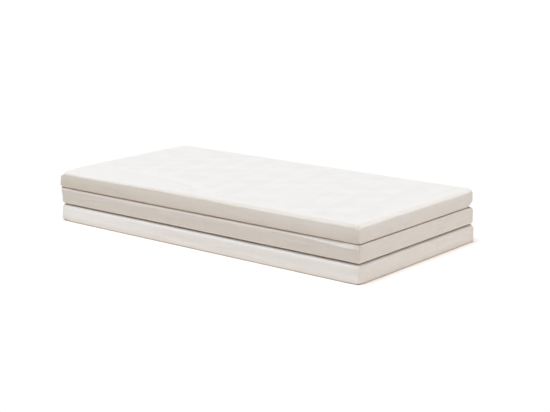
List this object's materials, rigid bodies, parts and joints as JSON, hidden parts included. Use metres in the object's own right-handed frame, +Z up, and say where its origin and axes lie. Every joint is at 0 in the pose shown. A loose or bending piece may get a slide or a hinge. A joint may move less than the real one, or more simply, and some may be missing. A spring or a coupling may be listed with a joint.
{
  "type": "folding guest mattress",
  "caption": "Folding foam guest mattress in a Z-folded stack: off-white cotton covers with zips, panels joined by cloth hinges so it opens flat as a bed.",
  "frame": {"origin": "centre of the bottom panel's underside, where the folded stack rests on the floor", "axes": "+X along the panels, away from the zip end; +Y across them, towards the lower hinge; +Z up"},
  "size_m": [1.4049, 0.6682, 0.1918],
  "materials": {
    "cover_cotton": "off-white plain-weave cotton, matt",
    "base_cotton": "off-white plain-weave cotton, matt",
    "hinge_tape": "off-white woven cotton tape, matt",
    "foam": "cut polyurethane foam, open cells",
    "zip_tape": "woven polyester tape",
    "zip_coil": "nylon coil, satin",
    "zip_metal": "nickel-plated, satin",
    "label_satin": "blank woven satin"
  },
  "bodies": {
    "bottom_panel": {"bottom_foam_core": "foam", "bottom_cover_sheet": "cover_cotton", "bottom_base_sheet": "base_cotton", "bottom_zip_facing": "cover_cotton", "bottom_zip_tape_upper": "zip_tape", "bottom_zip_tape_lower": "zip_tape", "bottom_zip_coil_upper": "zip_coil", "bottom_zip_coil_lower": "zip_coil", "bottom_zip_end_tab_closed": "zip_tape", "bottom_zip_end_tab_open": "zip_tape", "lower_hinge_tape": "hinge_tape"},
    "bottom_slider": {"bottom_zip_slider": "zip_metal"},
    "bottom_pull": {"bottom_zip_pull": "zip_metal"},
    "middle_panel": {"middle_foam_core": "foam", "middle_cover_sheet": "cover_cotton", "middle_base_sheet": "base_cotton", "middle_zip_facing": "cover_cotton", "middle_zip_tape_upper": "zip_tape", "middle_zip_tape_lower": "zip_tape", "middle_zip_coil_upper": "zip_coil", "middle_zip_coil_lower": "zip_coil", "middle_zip_end_tab_closed": "zip_tape", "middle_zip_end_tab_open": "zip_tape", "upper_hinge_tape": "hinge_tape", "care_label": "label_satin"},
    "middle_slider": {"middle_zip_slider": "zip_metal"},
    "middle_pull": {"middle_zip_pull": "zip_metal"},
    "top_panel": {"top_foam_core": "foam", "top_cover_sheet": "cover_cotton", "top_base_sheet": "base_cotton", "top_zip_facing": "cover_cotton", "top_zip_tape_upper": "zip_tape", "top_zip_tape_lower": "zip_tape", "top_zip_coil_upper": "zip_coil", "top_zip_coil_lower": "zip_coil", "top_zip_end_tab_closed": "zip_tape", "top_zip_end_tab_open": "zip_tape"},
    "top_slider": {"top_zip_slider": "zip_metal"},
    "top_pull": {"top_zip_pull": "zip_metal"}
  },
  "joints": [
    {"name": "lower_fold", "type": "hinge", "parent": "bottom_panel", "child": "middle_panel", "pos_m": [0, 0.3334, 0.0636], "axis": [-1, 0, 0], "range_deg": [0, 180], "deforming": ["lower_hinge_tape"]},
    {"name": "upper_fold", "type": "hinge", "parent": "middle_panel", "child": "top_panel", "pos_m": [0, -0.3334, 0.1282], "axis": [1, 0, 0], "range_deg": [0, 180], "deforming": ["upper_hinge_tape"]},
    {"name": "bottom_zip_travel", "type": "slide", "parent": "bottom_panel", "child": "bottom_slider", "axis": [0, -1, 0], "range_m": [0, 0.5388]},
    {"name": "bottom_pull_swing", "type": "hinge", "parent": "bottom_slider", "child": "bottom_pull", "pos_m": [-0.70295, 0.2694, 0.0313], "axis": [0, 0, -1], "range_deg": [0, 180]},
    {"name": "middle_zip_travel", "type": "slide", "parent": "middle_panel", "child": "middle_slider", "axis": [0, 1, 0], "range_m": [0, 0.5388]},
    {"name": "middle_pull_swing", "type": "hinge", "parent": "middle_slider", "child": "middle_pull", "pos_m": [-0.70295, -0.2694, 0.0959], "axis": [0, 0, 1], "range_deg": [0, 180]},
    {"name": "top_zip_travel", "type": "slide", "parent": "top_panel", "child": "top_slider", "axis": [0, -1, 0], "range_m": [0, 0.5388]},
    {"name": "top_pull_swing", "type": "hinge", "parent": "top_slider", "child": "top_pull", "pos_m": [-0.70295, 0.2694, 0.1605], "axis": [0, 0, -1], "range_deg": [0, 180]}
  ],
  "couplings": [
    {"joint": "upper_fold", "follows": "lower_fold", "ratio": 1}
  ]
}
